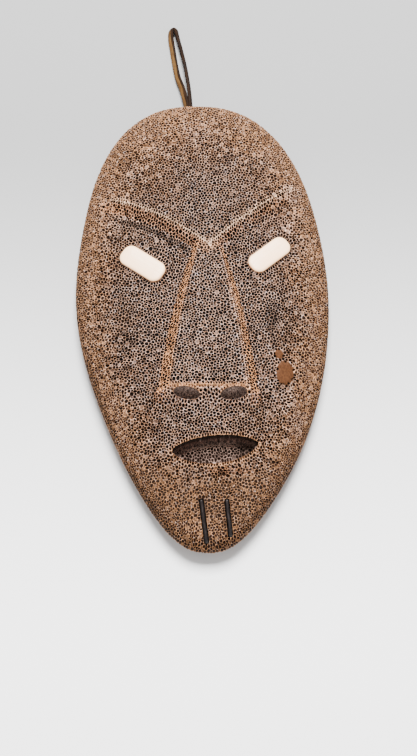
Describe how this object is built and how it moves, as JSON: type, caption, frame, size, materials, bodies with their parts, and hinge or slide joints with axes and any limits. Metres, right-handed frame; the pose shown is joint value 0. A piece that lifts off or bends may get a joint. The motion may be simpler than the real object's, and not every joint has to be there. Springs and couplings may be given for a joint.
{
  "type": "whalebone mask",
  "caption": "Carved long oval face mask of porous whalebone, with a wedge nose, open mouth, inset ivory eyes, dark strips in the chin and a hide loop at the crown.",
  "frame": {"origin": "on the flat back, below the middle of the bone's box; the mask lies on its back", "axes": "+X to the viewer's right, +Y from chin to crown, +Z out of the face"},
  "size_m": [0.0884, 0.1934, 0.0276],
  "materials": {
    "bone": "dry porous whalebone, tan at the rim and greyer in the middle",
    "ivory": "smooth cream ivory",
    "baleen": "dark brown baleen",
    "hide": "stiff brown rawhide with dark edges"
  },
  "bodies": {
    "root": {"mask_body": "bone", "left_eye": "ivory", "right_eye": "ivory", "left_chin_inlay": "baleen", "right_chin_inlay": "baleen", "hanging_loop": "hide"}
  },
  "joints": []
}
